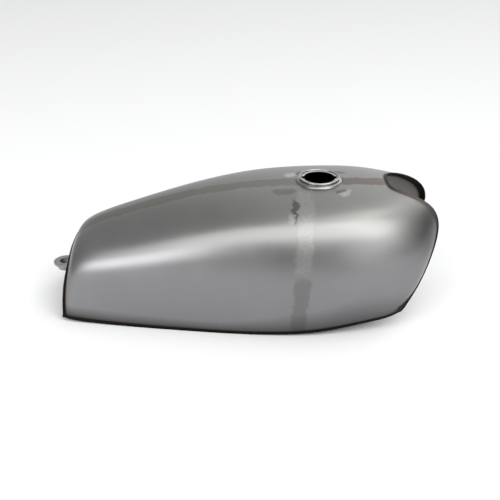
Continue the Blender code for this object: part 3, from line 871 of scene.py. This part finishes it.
# Fuel outlets: under each floor a drilled steel flange that takes the fuel tap, with a spigot that
# passes up through the floor and is brazed round.
FLANGE_HALF, FLANGE_R, FLANGE_Z, FLANGE_THICK = 17.0, 9.0, 2.0, 5.0
SPIGOT_R, SPIGOT_TALL, SPIGOT_MIDDLE_Z = 8.6, 11, 10.5
OUTLET_BORE_R, SCREW_HOLE_R = 6.6, 3.0
for name, side in (("outlet_boss_right", -1), ("outlet_boss_left", 1)):
    x, y = OUTLET[0], side * OUTLET[1]
    flange_view = arc(x + FLANGE_HALF, y, FLANGE_R, -90, 90)
    flange_view += arc(x - FLANGE_HALF, y, FLANGE_R, 90, 270)
    flange_points = [(u, v, FLANGE_Z) for u, v in flange_view]
    boss = cut_from_strip("drilled_" + name, flange_points, (0, 0, FLANGE_THICK))
    spigot = add_round("spigot", (x, y, SPIGOT_MIDDLE_Z), SPIGOT_R, SPIGOT_TALL, 64)
    combine(boss, spigot, "UNION")
    drills = [add_round("bore", (x, y, 10), OUTLET_BORE_R, 30, 64)]
    for end in (-FLANGE_HALF, FLANGE_HALF):
        drills.append(add_round("screw_hole", (x + end, y, 1), SCREW_HOLE_R, 10, 32))
    for drill in drills:
        combine(boss, drill)
    for used in [spigot] + drills:
        bpy.data.objects.remove(used)
    ease_edges(boss, 0.4, 2)
    finish_piece(boss, bracket, "bracket_steel", name)

# Camera: it looks down a little at the tank's right side.
MID_TANK = (0.02, 0, 0.1)
CAMERA_DISTANCE, CAMERA_TILT, CAMERA_LENS = 1.2, math.radians(27), 58.3
camera_data = bpy.data.cameras.new("camera")
camera_data.lens = CAMERA_LENS
camera = bpy.data.objects.new("camera", camera_data)
bpy.context.collection.objects.link(camera)
backwards = Vector((0, -math.cos(CAMERA_TILT), math.sin(CAMERA_TILT)))
camera.location = world((272, 0, 74)) + backwards * CAMERA_DISTANCE
camera.rotation_euler = (math.pi / 2 - CAMERA_TILT, 0, 0)
bpy.context.scene.camera = camera

# Floor: a sweep of uncoated white paper, so it is matt. A painted shadow tones it grey towards the
# camera, which keeps the lower sides of the tank from mirroring plain white.
deselect()
bpy.ops.mesh.primitive_plane_add(size=12)
floor = bpy.context.object
floor.name = "floor"
paper, paper_shader = start_material("white_paper_sweep", "D4D4D4", 0.0, 0.7)
paper_place = add_node(paper, "TexCoord").outputs["Object"]
GREY_MIDDLE = {"operation": "DISTANCE", 1: (0.15, -1.35, 0.0)}
from_grey = add_node(paper, "VectorMath", GREY_MIDDLE, [(paper_place, 0)]).outputs["Value"]
greyed = add_node(paper, "MapRange", {**SMOOTH, 1: 0.95, 2: 0.35}, [(from_grey, 0)])
paper_tone = add_node(paper, "Mix", {**COLOUR_MIX, 6: rgb("DADADA"), 7: rgb("858585")}, [(greyed, 0)])
link(paper, paper_tone, paper_shader, "Base Color")
floor.data.materials.append(paper)


def soft_box(name, place_m, size, brightness):
    """A rectangular soft box aimed at the tank; its power is its brightness times its area."""
    lamp = bpy.data.lights.new(name, "AREA")
    lamp.shape = "RECTANGLE"
    lamp.size, lamp.size_y = size
    lamp.energy = brightness * math.pi * size[0] * size[1]
    lamp.spread = math.pi
    made = bpy.data.objects.new(name, lamp)
    bpy.context.collection.objects.link(made)
    made.location = place_m
    aim = Vector(MID_TANK) - Vector(place_m)
    made.rotation_euler = aim.to_track_quat("-Z", "Y").to_euler()


# Lights: a long soft box overhead, one low at the rear that draws the highlight along the side, and
# two weak ones that open the shadows at the front.
soft_box("overhead_soft_box", (0.2, -1.85, 2.4), (6.0, 1.9), 2.3)
soft_box("rear_side_soft_box", (-2.15, -2.3, 1.0), (1.5, 1.2), 4.4)
soft_box("front_side_soft_box", (2.1, -1.8, 1.4), (1.2, 1.5), 0.8)
soft_box("front_top_soft_box", (0.95, -0.45, 3.0), (2.2, 1.4), 1.3)

# Walls: pale, brightest towards the front of the tank and duller past its rear, with a dark end
# wall ahead and the dark shape of the camera stand. Each pair is a place from rear to front, and
# how bright the wall is there.
WALL_TONES = (
    (0.0, 0.22),
    (0.33, 0.30),
    (0.5, 0.45),
    (0.6, 0.58),
    (0.77, 0.92),
    (0.86, 0.6),
    (0.94, 0.16),
    (1.0, 0.2),
)
WALL_BRIGHTNESS = 2.1
sky = bpy.data.worlds.new("studio")
bpy.context.scene.world = sky
sky.use_nodes = True
background = sky.node_tree.nodes["Background"]
background.inputs["Color"].default_value = (0.985, 0.99, 1.0, 1.0)
way = add_node(sky, "TexCoord").outputs["Generated"]
way_x = add_node(sky, "SeparateXYZ", {}, [(way, 0)]).outputs["X"]
rear_to_front = add_node(sky, "MapRange", {1: -1.0, 2: 1.0}, [(way_x, 0)])
walls = add_node(sky, "ValToRGB", {}, [(rear_to_front, 0)])
stops = walls.color_ramp.elements
for position, level in WALL_TONES:
    stop = stops.new(position) if 0 < position < 1 else stops[0 if position == 0 else -1]
    stop.color = (level, level, level, 1)
light = add_node(sky, "Math", {"operation": "MULTIPLY", 1: WALL_BRIGHTNESS}, [(walls, 0)])
STAND_WAY = {"operation": "DISTANCE", 1: (0.03, -0.985, 0.16)}
off_stand = add_node(sky, "VectorMath", STAND_WAY, [(way, 0)]).outputs["Value"]
stand = add_node(sky, "MapRange", {**SMOOTH, 1: 0.08, 2: 0.34, 3: 0.35, 4: 1.0}, [(off_stand, 0)])
light = add_node(sky, "Math", {"operation": "MULTIPLY"}, [(light, 0), (stand, 1)])
link(sky, light, background, "Strength")
bpy.context.scene.view_settings.view_transform = "Standard"
